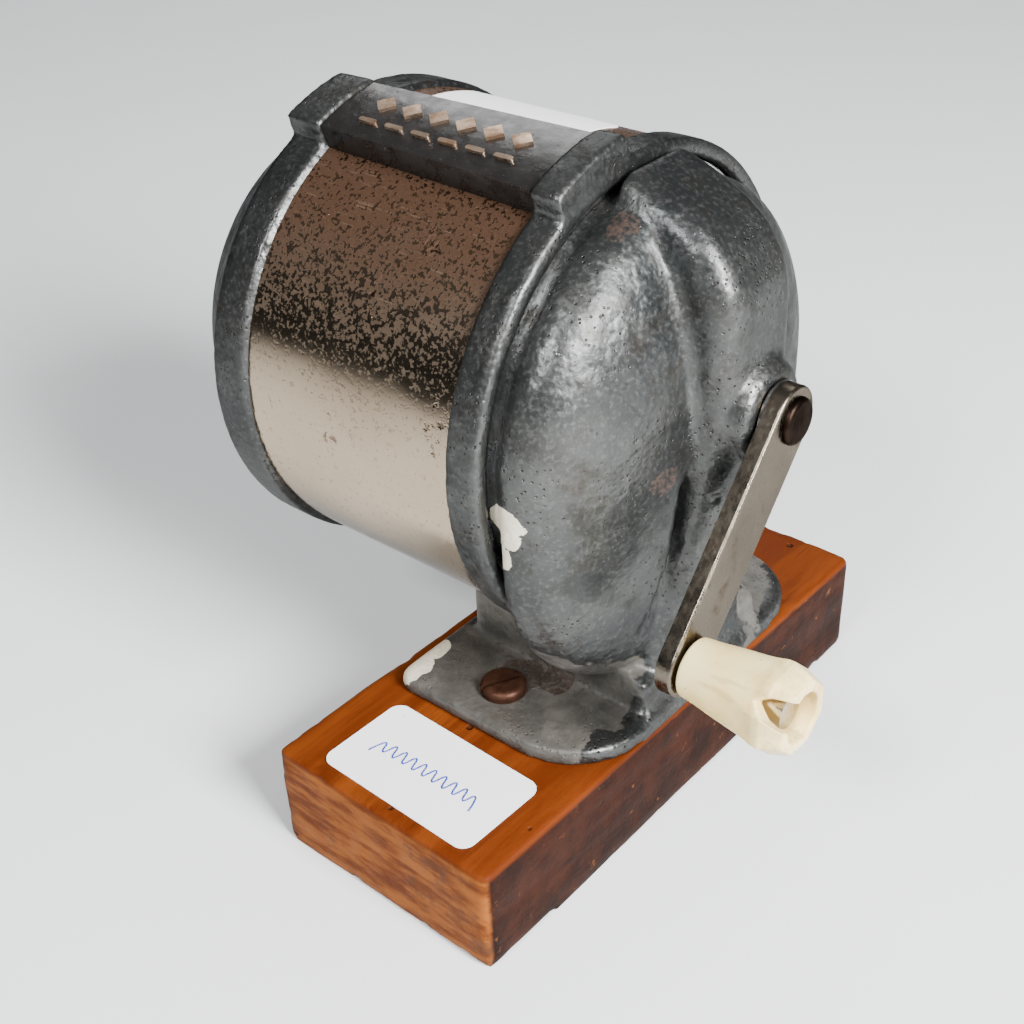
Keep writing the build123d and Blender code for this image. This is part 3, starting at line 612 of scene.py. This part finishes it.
sheet = nickel_sheet("nickel_sheet")
enamel = black_enamel("black_enamel")
wood = stained_wood("stained_wood", (block_low, block_high))
label = paper("label_paper")
relief = worn_steel("relief_worn", (0.70, 0.52, 0.38), (0.30, 0.17, 0.10), 0.4, 0.3, 0.5)
plated = worn_steel("plated_arm", (0.15, 0.128, 0.10), (0.055, 0.036, 0.022), 0.3, 0.24, 0.42, 4.0)
dark_steel = worn_steel("dark_bolt", (0.020, 0.013, 0.010), (0.009, 0.005, 0.0035), 0.6, 0.36,
                        0.55)
rusty = worn_steel("rusty_screw", (0.075, 0.032, 0.019), (0.032, 0.012, 0.007), 0.6, 0.45, 0.65,
                   1.5, 0.7)
machined = worn_steel("machined_steel", (0.42, 0.42, 0.43), (0.16, 0.13, 0.11), 0.3, 0.22, 0.4)
hardened = worn_steel("hardened_steel", (0.34, 0.35, 0.37), (0.12, 0.10, 0.09), 0.35, 0.2, 0.36)
bronze = worn_steel("bronze_bush", (0.50, 0.33, 0.15), (0.20, 0.11, 0.05), 0.3)
browned = worn_steel("browned_plate", (0.30, 0.20, 0.13), (0.11, 0.06, 0.035), 0.55, 0.34, 0.5)
chrome = worn_steel("chrome_pin", (0.60, 0.57, 0.53), (0.16, 0.12, 0.10), 0.35, 0.14, 0.34)
ivory = ivory_plastic("ivory_plastic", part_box("handle_grip")[1].x)

FINISHES = {
    "receptacle_shell": sheet, "top_strip": enamel, "strip_relief": relief,
    "block_label": label, "drum_label": label, "crank_arm": plated, "crank_bolt": dark_steel,
    "handle_pin": chrome, "foot_screw_near": rusty, "foot_screw_far": rusty,
    "shaft_bushing": bronze, "ring_gear": machined, "cutter_carrier": machined,
    "crank_shaft": machined, "thrust_washer": machined, "collar_spring": machined,
    "cutter_pin_a": hardened, "cutter_pin_b": hardened, "guide_disc": browned,
    "guide_rivet": plated, "guide_washer": machined, "detent_spring": machined,
    "gear_screw_1": machined, "gear_screw_2": machined, "gear_screw_3": machined,
}
for node, material in FINISHES.items():
    mesh = frame["nodes"][node].data
    mesh.materials.clear()
    mesh.materials.append(material)

# ---- pieces that stand for CAD nodes ------------------------------------------------------
housing = moved_out(softened("stand_housing", 0.75 * MM, 9), dimpled(1.9 * MM, 0.07 * MM))
put("housing_casting", housing, cast, "stand", "cast_metal", "stand_housing")

for node, piece_name in (("receptacle_cap", "cap_casting"), ("mouth_ring", "mouth_casting")):
    mesh = moved_out(softened(node, 0.6 * MM, 4), dimpled(1.8 * MM, 0.05 * MM))
    put(piece_name, mesh, rings, "receptacle", "cast_metal", node)


def worn_block(point):
    """Dents and chips of the block: deeper near its edges than on its faces."""
    from_edges = sorted((point.x - block_low.x, block_high.x - point.x,
                         point.y - block_low.y, block_high.y - point.y,
                         point.z - block_low.z, block_high.z - point.z))
    edge = max(0.0, 1.0 - from_edges[1] / (2.5 * MM))
    rough = 0.5 + 0.5 * noise.noise(point / (7 * MM))
    chips = max(0.0, noise.noise(point / (3.2 * MM) + Vector((9, 4, 2))) - 0.15)
    return -MM * (0.05 + 0.06 * rough + edge * (0.25 * rough + 0.9 * chips))


block = moved_out(softened("wooden_block", 0.9 * MM, 2), worn_block)
put("block_body", block, wood, "stand", "oiled_wood", "wooden_block")
put("grip_moulding", grip_mesh(), ivory, "grip", "ivory_plastic", "handle_grip")
for tag in CUTTERS:
    put("roller_" + tag, cutter_mesh(tag), hardened, "cutter_roller_" + tag, "cutter_steel",
        "cutter_" + tag)

# ---- pen strokes on the labels: plain waves, no writing -----------------------------------
blue_ink = ink("blue_ink", (0.03, 0.06, 0.42))
low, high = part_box("block_label")
middle = (low + high) / 2
waves = []
for i in range(WAVE_COUNT):
    side = WAVE_HALF if i % 2 else -WAVE_HALF
    waves.append((middle.x + (-12 + WAVE_STEP * i) * MM, middle.y + (side - 0.02 * i) * MM,
                  high.z + 0.02 * MM))
pen_line("label_wave", waves, "stand", "paper_label", blue_ink, 0.30)

# ---- floor, light and camera --------------------------------------------------------------
floor_mesh = bpy.data.meshes.new("floor")
corners = [(x * FLOOR_HALF, y * FLOOR_HALF, 0) for x, y in ((-1, -1), (1, -1), (1, 1), (-1, 1))]
floor_mesh.from_pydata(corners, [], [(0, 1, 2, 3)])
floor_mesh.materials.append(pale_floor("pale_floor"))
floor = bpy.data.objects.new("floor", floor_mesh)
bpy.context.scene.collection.objects.link(floor)


def soft_light(name, place, size, power, colour=(1, 1, 1)):
    """A square soft box, place metres away, aimed at the drum."""
    lamp = bpy.data.lights.new(name, "AREA")
    lamp.size, lamp.energy, lamp.color = size, power, colour
    holder = bpy.data.objects.new(name, lamp)
    holder.location = place
    holder.rotation_mode = "QUATERNION"
    holder.rotation_quaternion = (DRUM - Vector(place)).to_track_quat("-Z", "Y")
    bpy.context.scene.collection.objects.link(holder)


soft_light("key", (0.64, -0.13, 0.47), 0.28, 25.0)
soft_light("left_box", (0.12, -0.85, 0.85), 0.22, 12.0)
soft_light("back_box", (-0.65, 0.75, 0.78), 0.50, 3.5)

world = bpy.data.worlds.new("studio")
bpy.context.scene.world = world
world.use_nodes = True
tree = world.node_tree
background = tree.nodes["Background"]
place = tree.nodes.new("ShaderNodeTexCoord")
split = tree.nodes.new("ShaderNodeSeparateXYZ")
height = tree.nodes.new("ShaderNodeMapRange")
height.interpolation_type = "SMOOTHSTEP"
for index, value in ((1, SKY_LOW), (2, SKY_HIGH), (3, SKY_DARK), (4, SKY_BRIGHT)):
    height.inputs[index].default_value = value
tree.links.new(place.outputs["Generated"], split.inputs[0])
tree.links.new(split.outputs[2], height.inputs[0])
tree.links.new(height.outputs[0], background.inputs["Strength"])
background.inputs["Color"].default_value = (0.93, 0.96, 1.0, 1.0)

a, e = math.radians(AZIMUTH), math.radians(ELEVATION)
back = Vector((math.sin(a) * math.cos(e), -math.cos(a) * math.cos(e), math.sin(e)))
lens = bpy.data.cameras.new("camera")
lens.sensor_width, lens.lens = SENSOR_WIDTH, FOCAL_LENGTH
lens.clip_start, lens.clip_end = 0.01, 20.0
camera = bpy.data.objects.new("camera", lens)
camera.location = CAMERA_PLACE
camera.rotation_mode = "QUATERNION"
camera.rotation_quaternion = ((-back).to_track_quat("-Z", "Y").to_matrix()
                              @ Matrix.Rotation(math.radians(ROLL), 3, "Z")).to_quaternion()
bpy.context.scene.collection.objects.link(camera)
bpy.context.scene.camera = camera
